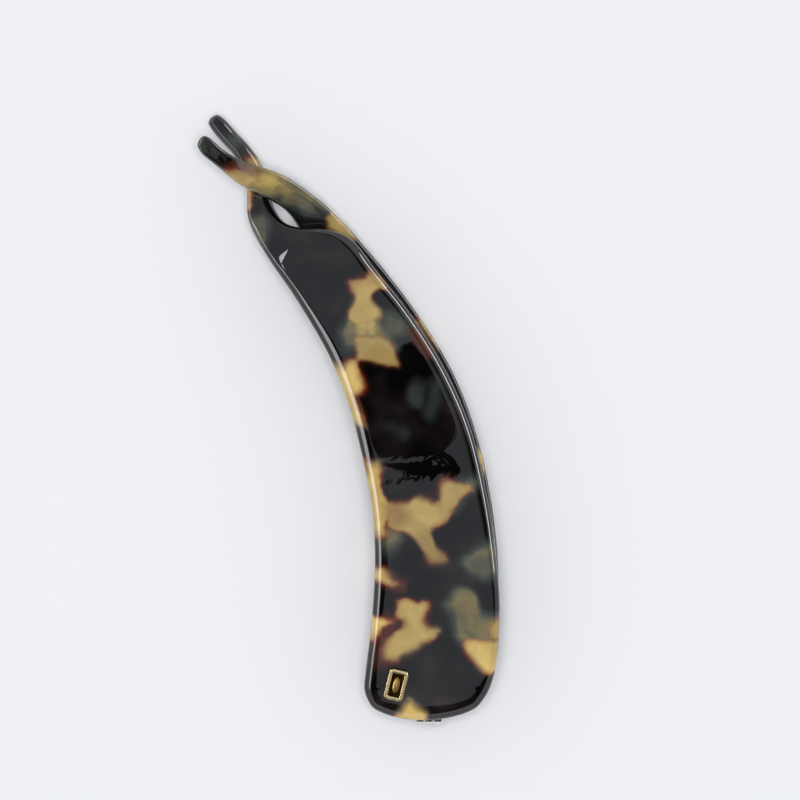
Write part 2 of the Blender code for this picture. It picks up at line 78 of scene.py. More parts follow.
# Chips of the front arm, by colour, in mm. Tone is how near a chip lies to the face:
# 1 is at the face, and 0 is deep under dark acetate. An olive chip's tone may go past 1,
# and at OLIVE_BRIGHTEST it is as bright as honey. The faint olive entry at the finger's
# tip is no chip but a painted sheen.
FRONT_HONEY = (
    # tone, outline (x, y)
    (0.57, ((0.3, 29.5), (1.8, 30.0), (3.7, 30.3), (4.6, 31.7), (5.7, 31.5), (7.6, 29.4), (8.5, 27.6),
            (7.0, 28.4), (5.9, 28.0), (4.8, 26.9), (4.8, 25.8), (5.7, 24.5), (7.0, 23.2), (7.6, 22.0),
            (6.6, 21.4), (5.2, 20.7), (3.2, 20.4), (1.2, 20.8), (0.1, 21.8), (0.1, 23.5), (0.9, 25.0),
            (1.2, 26.5), (0.7, 27.8))),
    (0.42, ((1.4, 17.6), (3.8, 18.3), (6.2, 18.3), (7.6, 17.8), (8.8, 17.0), (9.6, 15.7), (9.9, 14.0),
            (10.4, 12.5), (10.8, 11.4), (8.1, 11.9), (5.9, 12.3), (3.8, 12.6), (2.3, 12.8),
            (1.6, 12.9), (1.9, 14.4), (1.5, 15.7))),
    (0.8, ((-4.0, 12.3), (-1.4, 11.4), (0.3, 12.4), (1.6, 12.8), (1.8, 11.2), (2.3, 9.5), (3.1, 8.2),
           (3.3, 6.9), (2.5, 5.8), (1.2, 5.0), (1.8, 3.5), (2.7, 1.1), (3.8, -1.7), (1.2, -1.9),
           (-1.4, 4.5))),
    (0.8, ((3.8, -9.0), (6.6, -9.2), (7.0, -10.5), (6.8, -12.6), (6.8, -14.5), (7.4, -16.7),
           (8.3, -18.2), (8.7, -19.9), (8.1, -21.6), (7.8, -23.3), (8.3, -25.0), (5.0, -25.5),
           (4.6, -17.4))),
    (0.54, ((8.3, -18.4), (10.4, -18.1), (13.0, -17.7), (14.1, -16.9), (15.6, -16.6), (17.1, -17.1),
            (17.9, -17.7), (19.4, -17.7), (19.6, -16.2), (19.8, -14.7), (20.3, -13.2), (21.6, -13.0),
            (23.1, -13.9), (24.6, -13.9), (26.1, -14.1), (26.7, -15.0), (25.4, -15.8), (24.1, -16.9),
            (23.3, -18.3), (22.4, -19.5), (22.0, -20.7), (21.1, -21.8), (19.9, -22.7), (18.4, -23.1),
            (16.9, -23.8), (15.4, -25.6), (14.3, -25.7), (13.2, -24.8), (12.1, -24.0), (10.2, -24.0),
            (8.5, -22.9))),
    (0.36, ((14.8, -23.6), (16.9, -23.8), (17.7, -25.0), (18.6, -26.6), (19.4, -27.8), (20.3, -29.1),
            (21.1, -30.4), (19.6, -30.9), (17.7, -31.1), (17.1, -29.8), (16.4, -28.5), (15.6, -27.0),
            (14.3, -25.7))),
    (0.85, ((4.6, -32.0), (7.4, -32.2), (8.4, -33.2), (9.4, -34.4), (10.6, -35.3), (9.4, -36.0),
            (8.2, -35.6), (7.2, -35.0), (4.6, -34.8))),
    (0.62, ((10.6, -39.1), (12.8, -38.9), (14.9, -39.5), (16.2, -39.1), (16.9, -39.5), (16.9, -40.8),
            (16.4, -42.1), (16.2, -43.4), (16.9, -44.7), (17.9, -45.1), (19.7, -45.3), (19.2, -46.2),
            (18.0, -47.1), (16.4, -48.0), (15.4, -48.8), (14.3, -49.7), (12.8, -50.6), (11.5, -51.0),
            (10.6, -51.9), (8.9, -52.1), (7.6, -51.7), (7.4, -50.2), (7.8, -48.6), (8.7, -47.1),
            (9.8, -46.0), (11.3, -45.3), (12.1, -44.5), (11.9, -43.2), (10.4, -42.8), (10.2, -41.4),
            (10.4, -40.2))),
    (1.0, ((3.7, -42.7), (6.8, -42.8), (8.5, -43.1), (9.8, -43.4), (8.3, -44.3), (7.0, -45.1),
           (6.3, -46.2), (5.5, -47.6), (2.9, -47.7))),
    (1.0, ((13.0, -59.8), (14.1, -60.8), (14.9, -61.8), (15.8, -62.6), (17.2, -63.6), (17.4, -67.4),
            (9.8, -67.4), (10.2, -64.6), (11.2, -62.8), (11.9, -61.4), (12.4, -60.4))),
    (0.5, ((30.4, -43.8), (31.6, -43.0), (33.8, -42.6), (33.8, -48.0), (31.2, -47.4), (30.2, -45.8))),
    (0.85, ((25.3, -47.7), (27.2, -47.5), (29.1, -47.5), (33.3, -47.7), (33.3, -54.2), (31.1, -55.2),
            (30.0, -54.7), (28.9, -54.1), (27.9, -53.2), (27.0, -51.9), (26.1, -50.8), (25.3, -49.7),
            (24.8, -48.6))),
    (0.75, ((-23.8, 50.8), (-21.6, 50.3), (-21.3, 48.7), (-21.3, 46.6), (-21.9, 44.7), (-23.8, 44.0))),
    (0.6, ((-22.6, 56.6), (-21.0, 56.8), (-18.6, 56.4), (-17.9, 54.6), (-19.7, 54.3), (-21.4, 55.0))),
)
FRONT_OLIVE_AND_SHEEN = (
    (1.4, ((0.8, 22.0), (6.2, 22.2), (7.2, 19.2), (7.0, 16.4), (1.8, 16.4), (0.5, 18.8))),
    (0.75, ((-1.4, 18.7), (0.3, 21.8), (3.0, 21.2), (6.0, 21.0), (8.0, 19.2), (9.6, 17.6), (10.2, 15.3),
            (9.0, 13.0), (4.6, 14.4), (2.0, 15.4), (-0.6, 15.3))),
    (0.6, ((7.4, 22.2), (9.8, 23.0), (11.9, 21.8), (13.4, 20.0), (11.9, 17.9), (9.3, 17.5), (8.0, 19.2))),
    (0.48, ((13.6, 7.1), (14.7, 7.8), (16.2, 7.1), (16.2, 4.5), (15.6, 2.4), (13.6, 3.0), (13.0, 4.3))),
    (0.38, ((17.5, 6.7), (19.0, 8.4), (19.9, 7.6), (19.7, 4.5), (18.8, 1.5), (17.7, 0.0), (16.4, 0.7),
            (16.9, 3.7))),
    (0.34, ((7.2, -1.5), (9.3, -1.0), (11.9, -1.7), (13.0, -2.8), (11.9, -4.1), (9.8, -3.0))),
    (0.75, ((7.6, -23.2), (10.6, -23.6), (11.5, -25.1), (10.0, -27.3), (8.3, -28.6), (7.6, -27.1))),
    (0.8, ((23.5, -13.7), (27.4, -12.9), (27.8, -14.2), (26.1, -15.7), (24.4, -17.0), (22.6, -19.6),
           (21.4, -19.0), (22.4, -16.1))),
    (0.7, ((24.4, -30.9), (25.7, -29.2), (27.4, -27.9), (29.6, -26.6), (31.3, -26.0), (32.6, -30.3),
           (32.6, -33.7), (29.1, -34.2), (27.4, -33.7), (25.9, -32.7))),
    (0.88, ((21.2, -39.6), (22.2, -38.5), (23.3, -36.8), (24.8, -36.3), (26.3, -37.0), (27.2, -38.5),
            (27.6, -40.8), (28.6, -42.2), (30.2, -42.4), (33.6, -42.0), (33.6, -48.6), (25.0, -48.4),
            (23.6, -46.6), (22.9, -44.6), (22.6, -42.4), (22.0, -40.8))),
    (0.95, ((25.4, -44.0), (28.0, -43.6), (31.0, -43.8), (33.6, -43.4), (33.6, -48.6), (25.6, -48.4))),
    # not a chip: a painted sheen, the faint grey of the polish's reflection at the front finger's tip
    (0.5, ((-26.5, 61.3), (-24.4, 62.3), (-23.0, 60.9), (-24.4, 58.9), (-26.0, 59.5))),
    (0.6, ((-21.9, 43.7), (-18.6, 44.1), (-17.3, 41.5), (-18.6, 37.6), (-20.8, 39.4))),
)
FRONT_STAIN = (
    (0.35, ((0.3, 29.3), (2.0, 29.9), (4.0, 30.1), (4.8, 31.9), (6.3, 31.2), (8.2, 28.6), (5.5, 29.1),
           (3.3, 29.1), (1.2, 28.2))),
    (0.85, ((14.0, 18.9), (14.7, 18.9), (16.4, 16.3), (17.9, 13.6), (17.4, 13.4), (16.2, 15.2),
            (14.9, 17.0))),
    (0.45, ((7.6, -18.3), (10.2, -18.0), (12.1, -18.7), (12.8, -20.4), (11.9, -22.6), (10.2, -24.1),
           (8.0, -23.4))),
    (0.6, ((8.8, -33.8), (10.6, -34.8), (12.0, -35.2), (12.0, -36.6), (10.0, -36.6), (8.6, -35.8))),
    (0.5, ((-22.4, 57.4), (-20.4, 57.6), (-18.6, 57.0), (-19.4, 55.6), (-21.6, 56.0))),
    (0.4, ((8.4, -41.5), (10.2, -42.8), (11.4, -43.9), (10.4, -45.4), (8.5, -47.1), (7.2, -49.7),
           (6.8, -52.2), (7.6, -53.3), (6.0, -53.3), (6.2, -48.5), (7.2, -44.5))),
)

# Chips of the back arm's finger and convex edge, which the photograph shows, in mm. A thin olive
# # sliver along the finger's upper edge is partly a chip and partly a painted highlight.
BACK_HONEY = (
    (0.55, ((-27.2, 53.2), (-24.6, 54.0), (-21.5, 53.4), (-20.3, 51.9), (-20.9, 50.1), (-22.9, 48.4),
            (-25.2, 49.0), (-27.2, 50.9))),
    (0.5, ((-4.9, 43.9), (-3.6, 44.8), (-1.5, 43.6), (1.8, 39.9), (0.7, 38.4), (-1.1, 39.3),
            (-2.8, 40.4), (-4.5, 41.3))),
    (0.5, ((15.0, 22.6), (16.8, 21.3), (21.2, 15.5), (19.9, 15.1), (16.3, 19.5))),
    (1.0, ((27.8, -6.4), (29.1, -7.3), (30.4, -11.3), (29.5, -12.6), (28.2, -9.5))),
)
BACK_OLIVE_AND_HIGHLIGHT = (
    (1.6, ((-19.0, 52.0), (-17.7, 52.8), (-15.0, 52.4), (-12.9, 50.7), (-14.2, 49.8), (-16.8, 50.2),
           (-18.5, 50.7))),
    (1.0, ((-23.4, 55.2), (-17.9, 55.0), (-14.9, 54.2), (-11.8, 52.2), (-10.6, 50.2), (-12.7, 48.4),
           (-15.8, 48.2), (-18.8, 47.6), (-22.4, 48.8))),
    # partly an olive chip and partly a painted highlight streak along the finger's upper edge
    (0.9, ((-12.8, 52.4), (-8.0, 49.4), (-5.8, 47.0), (-3.6, 44.8), (-5.6, 45.0), (-8.5, 47.2),
           (-11.8, 49.2))),
    (0.65, ((-14.6, 48.8), (-11.0, 48.6), (-8.0, 46.6), (-6.4, 44.2), (-9.0, 44.6), (-12.0, 46.2),
           (-14.8, 46.8))),
    (0.45, ((-32.2, 60.4), (-30.8, 60.0), (-30.2, 58.4), (-31.4, 57.6), (-32.6, 58.6))),
)
BACK_STAIN = (
    (0.8, ((-24.9, 54.5), (-22.4, 54.6), (-20.2, 53.6), (-20.0, 52.9), (-22.2, 53.4), (-24.7, 53.8))),
)

# Chips of the back arm's plate, which the photograph doesn't show, as lumpy ovals, in mm
BACK_PLATE_HONEY = (
    # tone, x, y, half length, half width, turn in degrees
    (0.8, -2.0, 31.0, 4.6, 2.2, 60),
    (0.7, 8.5, 20.0, 5.5, 2.6, 20),
    (1.0, 1.5, 12.0, 4.2, 1.8, 110),
    (0.9, 18.5, 5.5, 4.4, 2.4, 65),
    (0.7, 7.5, -5.5, 5.8, 2.7, 35),
    (0.8, 24.5, -12.0, 5.2, 2.3, 120),
    (0.6, 14.5, -21.0, 6.2, 2.5, 10),
    (1.0, 7.0, -33.0, 4.4, 2.2, 80),
    (0.7, 24.0, -35.5, 6.0, 2.9, 50),
    (0.8, 14.0, -45.5, 5.2, 2.6, 150),
    (0.9, 28.0, -53.0, 4.8, 2.2, 85),
    (0.7, 10.5, -58.5, 4.6, 2.4, 20),
)
BACK_PLATE_OLIVE = (
    (0.7, 4.5, 26.5, 4.0, 3.0, 30),
    (0.8, 13.0, 12.5, 5.0, 3.0, 45),
    (0.5, 22.5, -2.0, 4.5, 2.6, 100),
    (0.9, 16.0, -9.5, 5.5, 3.2, 160),
    (0.6, 8.5, -24.5, 4.5, 3.0, 60),
    (0.9, 27.5, -24.5, 5.0, 3.0, 90),
    (0.7, 15.5, -35.5, 4.5, 2.8, 0),
    (0.9, 22.5, -46.5, 5.0, 3.0, 130),
    (0.6, 20.0, -60.0, 4.5, 2.4, 170),
)
BACK_PLATE_STAIN = (
    (0.8, 4.5, 9.5, 4.5, 1.6, 115),
    (0.7, 27.0, -16.5, 4.5, 1.8, 110),
    (0.8, 5.5, -38.5, 4.0, 1.6, 95),
    (0.7, 18.5, -52.0, 4.5, 1.8, 150),
)

# How chips are laid up, with lengths in mm
LUMPY_CORNERS = 14
LUMP = 0.2              # share by which a lumpy oval's outline comes and goes
SLANT = (1.7, -1.2)     # how far a chip runs sideways on its way through the sheet
FAR = 9.0               # distance from a chip past which it no longer counts
DEEP = 2.0              # distance inside a chip past which its tone counts no more strongly
OLIVE_BRIGHTEST = 1.4

# Acetate, with sizes in mm
ACETATE_IOR = 1.49
RAGGED_SIZE = 3.5       # nibbles in a chip's outline
EDGE_SIZE = 8.0         # stretches of sharp or soft edge, and of clear or hazy polish
CLOUD_SIZE = 11.0       # brown clouds in the black
VEIL_SIZE = 6.0         # thinner and thicker black over a chip
WAVE_SIZE = 14.0        # waves that the polishing leaves
WAVE_HEIGHT = 0.006
HAZIEST = 0.012         # roughness
DUST_SPACING = 4.5
DUST_SIZE = 0.03        # share of the spacing

# Grain of the metals, in mm
GOLD_GRAIN = 0.5
STEEL_GRAIN = 0.6

# Light on the white tabletop, with sizes in mm
FILL = 0.50             # strength of the even light from the whole room
SOFTBOX_POWER = 5.8     # watts
SOFTBOX_SIZE = 260.0
SOFTBOX_HEIGHT = 1000.0
TABLETOP_SIZE = 6000.0

# Cards that the polish mirrors, with sizes and outlines in mm. A strength is a card's
# brightness, where the bare tabletop is about 0.87.
ROOM = 0.02             # strength where there is no card
WHITE = "#fbfcff"
PANEL_WHITE = "#eaf0fb"
PANEL = 0.80
PANEL_HEIGHT = 1000.0
LOWER_PANEL = (
    (-190, 200), (-190, -600), (-150, -680), (-60, -690), (-28, -630), (0, -612), (20, -640),
    (60, -680), (130, -680), (170, -620), (230, -560), (230, 200),
)
PANEL_CARDS = (
    # name, x, y, width, length, turn in degrees, strength
    ("overhead panel, right side", 470, 0, 500, 900, 0, 0.40),
    ("overhead panel, upper half", -309, 268, 620, 1000, 38, PANEL),
    ("overhead panel, far end", -760, 600, 420, 900, 84, PANEL),
)
DARK_HEIGHT = 905.0
DARK_GAP = (
    (-300, 14), (-40, 14), (4, 6), (14, -5), (22.5, -13), (31, -14), (33, -8), (32, 10), (33, 30),
    (33, 46), (20, 80), (-12, 133), (-27, 144), (-54, 169), (-78, 200), (-92, 206), (-128, 244),
    (-132, 160), (-300, 120),
)
ARC_HEIGHT = 903.0
DARK_ARC = (
    (37, 52), (45, 42), (47, 15), (42, -8), (39, -24), (35, -36), (32, -34), (34, -18), (35, 0), (36, 25),
)
FRINGE_HEIGHT = 904.0
FRINGE_TEETH = 56
FRINGE_WOBBLE = 1.0     # up and down, of the edge without teeth
UPPER_REACH = 14.0      # of the longest teeth
LOWER_REACH = 9.0
UPPER_FRINGE = (
    # x, top, bottom
    (-40, 17, 13), (0, 11, 7), (8, 3, 0), (14, -2, -5), (20, -8, -12), (25, -12, -16),
    (31, -12, -17), (35, -9, -14),
)
LOWER_FRINGE = (
    (-40, -5, -24), (1, -10, -24), (5, -14, -26), (9, -17, -27.5), (14, -20, -27.5),
    (20, -22, -28), (25, -22, -28.5), (31, -19.5, -29), (38, -14, -28),
)
TEAR = 11.0
BRIGHT_TEAR = (
    (-629, 597), (-635, 613), (-653, 641), (-683, 661), (-709, 659), (-701, 641), (-673, 627),
    (-647, 611),
)
WALL = 1.3
WALL_SIDES = 96
WALL_RADIUS = 1200.0
WALL_HEIGHT = 840.0
WALL_LOWEST = 400.0
WALL_GAP = (0.35, -1.0)     # towards the middle of the wall's low stretch
WALL_GAP_EDGE = 0.0         # cosine of the angle from there at which the wall begins to sink
WALL_GAP_FLOOR = 0.5        # cosine of the angle from there at which it is lowest
STRIP = 7.5
STRIP_FOOT = 1.4
STRIP_PLACE = -600.0        # x
LEFT_STRIP = (
    # outline (y, z)
    (800, 220), (800, 540), (-110, 540), (-185, 450), (-235, 370), (-300, 320), (-350, 290),
    (-350, 220),
)
LEFT_STRIP_FOOT = (
    (800, 0), (800, 220), (-350, 220), (-350, 200), (-300, 180), (-235, 140), (-185, 75), (-130, 0),
)
LINE = 18.0
LINE_CENTRE = (850, 343, 130)
LINE_SIZE = (120, 1050)
LINE_TURN = (0, 90, 33)     # degrees


def linear(code):
    """An sRGB hex colour as linear red, green, blue and alpha."""
    values = [int(code[k:k + 2], 16) / 255 for k in (1, 3, 5)]
    return tuple(v / 12.92 if v <= 0.04045 else ((v + 0.055) / 1.055) ** 2.4 for v in values) + (1.0,)


def node(tree, kind, inputs=(), stops=(), **settings):
    """A new node. An input takes a value, or is linked where it is given as (node, output)."""
    new = tree.nodes.new(kind)
    for name, value in settings.items():
        setattr(new, name, value)
    for name, value in dict(inputs).items():
        if isinstance(value, tuple) and isinstance(value[0], bpy.types.Node):
            tree.links.new(value[0].outputs[value[1]], new.inputs[name])
        else:
            new.inputs[name].default_value = value
    if stops:
        elements = new.color_ramp.elements
        while len(elements) < len(stops):
            elements.new(0.5)
        for element, (place, colour) in zip(elements, stops):
            element.position = place
            element.color = linear(colour)
    return new


def material(name):
    """A new material, its node tree and its shader."""
    mat = bpy.data.materials.new(name)
    mat.use_nodes = True
    tree = mat.node_tree
    return mat, tree, tree.nodes["Principled BSDF"]


def only(ob):
    """Selects one object alone and makes it active."""
    bpy.ops.object.select_all(action="DESELECT")
    ob.select_set(True)
    bpy.context.view_layer.objects.active = ob


def pick(ob, kind, wanted):
    """Selects the edges or faces of an object in edit mode that pass a test."""
    bpy.ops.mesh.select_all(action="DESELECT")
    bpy.ops.mesh.select_mode(type=kind)
    bpy.ops.object.mode_set(mode="OBJECT")
    for part in ob.data.edges if kind == "EDGE" else ob.data.polygons:
        part.select = wanted(part, [ob.data.vertices[k] for k in part.vertices])
    bpy.ops.object.mode_set(mode="EDIT")


def soften(ob, width, segments):
    """Rounds an object's sharp edges by a width in mm."""
    only(ob)
    bevel = ob.modifiers.new("soft edges", "BEVEL")
    bevel.width = width * MM
    bevel.segments = segments
    bevel.limit_method = "ANGLE"
    bevel.angle_limit = radians(SHARP)
    bpy.ops.object.modifier_apply(modifier="soft edges")


def signed_distance(points, outline):
    """Distance in mm of each point from an outline, positive inside it."""
    corners = np.array(outline)
    nearest = np.full(len(points), 1e9)
    inside = np.zeros(len(points), bool)
    for a, b in zip(corners, np.roll(corners, -1, axis=0)):
        run = b - a
        share = np.clip(((points - a) @ run) / (run @ run), 0, 1)
        away = points - a - share[:, None] * run
        nearest = np.minimum(nearest, np.hypot(away[:, 0], away[:, 1]))
        level = (a[1] > points[:, 1]) != (b[1] > points[:, 1])
        rise = run[1] if run[1] else 1e-9
        inside ^= level & (points[:, 0] < a[0] + (points[:, 1] - a[1]) * run[0] / rise)
    return np.where(inside, nearest, -nearest)


def lumpy(rows, seed):
    """Tones and outlines of lumpy ovals, from rows of tone, centre, half sizes and turn."""
    rng = Random(seed)
    found = []
    for tone, x, y, long, short, turn in rows:
        first = rng.uniform(0, 2 * pi)
        second = rng.uniform(0, 2 * pi)
        outline = []
        for k in range(LUMPY_CORNERS):
            a = 2 * pi * k / LUMPY_CORNERS
            reach = 1 + LUMP * sin(2 * a + first) + LUMP * sin(3 * a + second)
            u = long * reach * cos(a)
            v = short * reach * sin(a)
            outline.append((x + u * cos(radians(turn)) - v * sin(radians(turn)),
                            y + u * sin(radians(turn)) + v * cos(radians(turn))))
        found.append((tone, tuple(outline)))
    return tuple(found)


def lay_up(ob, name, chips):
    """Stores how deep each vertex lies in the nearest chip, and the tone of the chips about
    it. A chip runs through the sheet on a slant, so the lower face shows it a little to
    one side."""
    mesh = ob.data
    points = np.array([v.co.to_2d() for v in mesh.vertices]) / MM
    through = np.array([(1 - v.normal.z) / 2 for v in mesh.vertices])
    points += through[:, None] * np.array(SLANT)
    depth = np.full(len(points), -FAR)
    tone = np.zeros(len(points))
    weight = np.full(len(points), 1e-6)
    for chip_tone, outline in chips:
        distance = signed_distance(points, outline)
        depth = np.maximum(depth, distance)
        share = np.exp(np.clip(distance, -FAR, DEEP))
        tone += share * chip_tone
        weight += share
    mesh.attributes.new(name, "FLOAT", "POINT").data.foreach_set("value", depth.astype(np.float32))
    mesh.attributes.new(name + "_tone", "FLOAT", "POINT").data.foreach_set(
        "value", (tone / weight).astype(np.float32))


def smooth_arm(cad_name, name):
    """A smooth copy of an arm's solid, fine enough to carry its chips."""
    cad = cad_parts[cad_name]
    ob = bpy.data.objects.new(name, cad.data.copy())
    bpy.context.scene.collection.objects.link(ob)
    only(ob)
    bpy.ops.object.mode_set(mode="EDIT")
    bpy.ops.mesh.select_all(action="SELECT")
    bpy.ops.mesh.remove_doubles(threshold=MERGE)
    bpy.ops.mesh.tris_convert_to_quads(face_threshold=radians(QUAD_BEND), shape_threshold=radians(QUAD_SKEW))
    bpy.ops.object.mode_set(mode="OBJECT")
    sub = ob.modifiers.new("smooth", "SUBSURF")
    sub.levels = SMOOTH_LEVELS
    sub.render_levels = SMOOTH_LEVELS
    bpy.ops.object.modifier_apply(modifier="smooth")
    bpy.ops.object.shade_smooth()
    return ob


def tortoiseshell():
    """Polished cellulose acetate. Chips of honey and black sheet are pressed into one
    block. A honey chip has a red-brown edge where it runs under thin black, and an
    olive one where the black over it is thicker. The polish mirrors the room, with a
    faint haze here and there."""
    mat, tree, shader = material("tortoiseshell acetate")
    place = node(tree, "ShaderNodeTexCoord")
    ragged = node(tree, "ShaderNodeTexNoise", {
        "Vector": (place, "Object"), "Scale": 1 / (RAGGED_SIZE * MM), "Detail": 2.0, "Roughness": 0.5})
    edge = node(tree, "ShaderNodeTexNoise", {
        "Vector": (place, "Object"), "Scale": 1 / (EDGE_SIZE * MM), "Detail": 1.0})
    cloud = node(tree, "ShaderNodeTexNoise", {
        "Vector": (place, "Object"), "Scale": 1 / (CLOUD_SIZE * MM), "Detail": 2.0, "Roughness": 0.6})
    veil = node(tree, "ShaderNodeTexNoise", {
        "Vector": (place, "Object"), "Scale": 1 / (VEIL_SIZE * MM), "Detail": 3.0, "Distortion": 0.6})
    thin_or_thick = node(tree, "ShaderNodeMapRange", {
        "Value": (veil, "Fac"), "From Min": 0.3, "From Max": 0.7, "To Min": 0.78, "To Max": 1.18})
    shift = node(tree, "ShaderNodeMath", {0: (ragged, "Fac"), 1: 0.5}, operation="SUBTRACT")

    def depth_of(name, reach, soft_low, soft_high, grow):
        """0 outside a kind of chip and 1 inside it, over an edge that is now sharp, now soft.
        The outline is grown, and then nibbled within a reach. All are in mm."""
        stored = node(tree, "ShaderNodeAttribute", attribute_name=name)
        grown = node(tree, "ShaderNodeMath", {0: (stored, "Fac"), 1: grow})
        ragged_depth = node(tree, "ShaderNodeMath", {
            0: (shift, "Value"), 1: reach, 2: (grown, "Value")}, operation="MULTIPLY_ADD")
        soft = node(tree, "ShaderNodeMapRange", {
            "Value": (edge, "Fac"), "From Min": 0.35, "From Max": 0.65,
            "To Min": soft_low, "To Max": soft_high})
        share = node(tree, "ShaderNodeMath", {
            0: (ragged_depth, "Value"), 1: (soft, "Result")}, operation="DIVIDE")
        return node(tree, "ShaderNodeMapRange", {
            "Value": (share, "Value"), "From Min": -1.0, "From Max": 1.0})

    honey = depth_of("honey", reach=1.45, soft_low=0.7, soft_high=1.8, grow=0.3)
    # The olive tables also carry a painted sheen at the front finger's tip, coloured here like a chip.
    olive = depth_of("olive", reach=1.5, soft_low=0.9, soft_high=1.9, grow=0.6)
    stain = depth_of("stain", reach=1.6, soft_low=1.0, soft_high=2.0, grow=0.0)
    honey_stored = node(tree, "ShaderNodeAttribute", attribute_name="honey_tone")
    honey_tone = node(tree, "ShaderNodeMath", {
        0: (honey_stored, "Fac"), 1: (thin_or_thick, "Result")}, operation="MULTIPLY", use_clamp=True)
    olive_stored = node(tree, "ShaderNodeAttribute", attribute_name="olive_tone")
    olive_tone = node(tree, "ShaderNodeMath", {
        0: (olive_stored, "Fac"), 1: (thin_or_thick, "Result")}, operation="MULTIPLY")
    stain_tone = node(tree, "ShaderNodeAttribute", attribute_name="stain_tone")

    dark = node(tree, "ShaderNodeValToRGB", {"Fac": (cloud, "Fac")}, stops=(
        (0.45, "#070606"), (0.62, "#171213"), (0.72, "#282022")))
    # The olive share also lights a thin sliver along the back finger's upper edge, partly a chip and partly
    # a painted highlight.
    olive_share = node(tree, "ShaderNodeMath", {
        0: (olive, "Result"), 1: (olive_tone, "Value")}, operation="MULTIPLY")
    olive_scaled = node(tree, "ShaderNodeMapRange", {
        "Value": (olive_share, "Value"), "From Max": OLIVE_BRIGHTEST})
    smoky = node(tree, "ShaderNodeValToRGB", {"Fac": (olive_scaled, "Result")}, stops=(
        (0.0, "#070606"), (0.18, "#1d201e"), (0.36, "#363a34"), (0.51, "#535241"), (0.71, "#7a6c47"),
        (1.0, "#c4ab66")))
    under = node(tree, "ShaderNodeMix", {
        "Factor": 1.0, "A": (dark, "Color"), "B": (smoky, "Color")},
        data_type="RGBA", blend_type="LIGHTEN")

    red_edge = node(tree, "ShaderNodeValToRGB", {"Fac": (honey, "Result")}, stops=(
        (0.0, "#070606"), (0.26, "#220c08"), (0.42, "#5c2517"), (0.56, "#8f5936"),
        (0.74, "#ba985a"), (1.0, "#d4b66e")))
    soft_edge = node(tree, "ShaderNodeValToRGB", {"Fac": (honey, "Result")}, stops=(
        (0.0, "#070606"), (0.25, "#171615"), (0.45, "#3b342a"), (0.62, "#746447"),
        (0.82, "#ab9259"), (1.0, "#d2b56c")))
    which = node(tree, "ShaderNodeMapRange", {
        "Value": (cloud, "Fac"), "From Min": 0.5, "From Max": 0.6})
    near = node(tree, "ShaderNodeMix", {
        "Factor": (which, "Result"), "A": (red_edge, "Color"), "B": (soft_edge, "Color")},
        data_type="RGBA")
    deep = node(tree, "ShaderNodeValToRGB", {"Fac": (honey, "Result")}, stops=(
        (0.0, "#070606"), (0.4, "#241b16"), (0.7, "#483a2b"), (1.0, "#57472f")))
    bright = node(tree, "ShaderNodeMix", {
        "Factor": (honey_tone, "Value"), "A": (deep, "Color"), "B": (near, "Result")}, data_type="RGBA")
    chips = node(tree, "ShaderNodeMix", {
        "Factor": 1.0, "A": (under, "Result"), "B": (bright, "Result")},
        data_type="RGBA", blend_type="LIGHTEN")
    stain_share = node(tree, "ShaderNodeMath", {
        0: (stain, "Result"), 1: (stain_tone, "Fac")}, operation="MULTIPLY")
    colour = node(tree, "ShaderNodeMix", {
        "Factor": (stain_share, "Value"), "A": (chips, "Result"), "B": linear("#6e3826")},
        data_type="RGBA")
    dust = node(tree, "ShaderNodeTexVoronoi", {
        "Vector": (place, "Object"), "Scale": 1 / (DUST_SPACING * MM)})
    chance = node(tree, "ShaderNodeSeparateColor", {"Color": (dust, "Color")})
    size = node(tree, "ShaderNodeMapRange", {
        "Value": (chance, "Red"), "From Min": 0.55, "From Max": 1.0, "To Min": 0.0, "To Max": DUST_SIZE})
    speck = node(tree, "ShaderNodeMath", {
        0: (dust, "Distance"), 1: (size, "Result")}, operation="LESS_THAN")
    dusty = node(tree, "ShaderNodeMix", {
        "Factor": (speck, "Value"), "A": (colour, "Result"), "B": linear("#8f8b84")}, data_type="RGBA")
    tree.links.new(dusty.outputs["Result"], shader.inputs["Base Color"])

    haze = node(tree, "ShaderNodeMapRange", {
        "Value": (edge, "Fac"), "From Min": 0.3, "From Max": 0.7, "To Min": 0.0, "To Max": HAZIEST})
    tree.links.new(haze.outputs["Result"], shader.inputs["Roughness"])
    wave = node(tree, "ShaderNodeTexNoise", {
        "Vector": (place, "Object"), "Scale": 1 / (WAVE_SIZE * MM), "Detail": 1.0})
    bump = node(tree, "ShaderNodeBump", {
        "Height": (wave, "Fac"), "Strength": 1.0, "Distance": WAVE_HEIGHT * MM})
    tree.links.new(bump.outputs["Normal"], shader.inputs["Normal"])
    shader.inputs["IOR"].default_value = ACETATE_IOR
    return mat


def gold_plate():
    """Gold-plated brass, polished on a soft wheel, with a dull patina in its recess."""
    mat, tree, shader = material("polished gold plate")
    place = node(tree, "ShaderNodeTexCoord")
    grain = node(tree, "ShaderNodeTexNoise", {
        "Vector": (place, "Object"), "Scale": 1 / (GOLD_GRAIN * MM), "Detail": 3.0})
    hollow = node(tree, "ShaderNodeAttribute", attribute_name="recess")
    patchy = node(tree, "ShaderNodeMath", {
        0: (grain, "Fac"), 1: 0.2, 2: (hollow, "Fac")}, operation="MULTIPLY_ADD")
    tint = node(tree, "ShaderNodeValToRGB", {"Fac": (patchy, "Value")}, stops=(
        (0.05, "#ffe9b4"), (0.3, "#f6cd7e"), (0.85, "#7a5526"), (1.0, "#3c2912")))
    tree.links.new(tint.outputs["Color"], shader.inputs["Base Color"])
    dull = node(tree, "ShaderNodeMapRange", {
        "Value": (patchy, "Value"), "To Min": 0.24, "To Max": 0.5})
    tree.links.new(dull.outputs["Result"], shader.inputs["Roughness"])
    shader.inputs["Metallic"].default_value = 1.0
    return mat


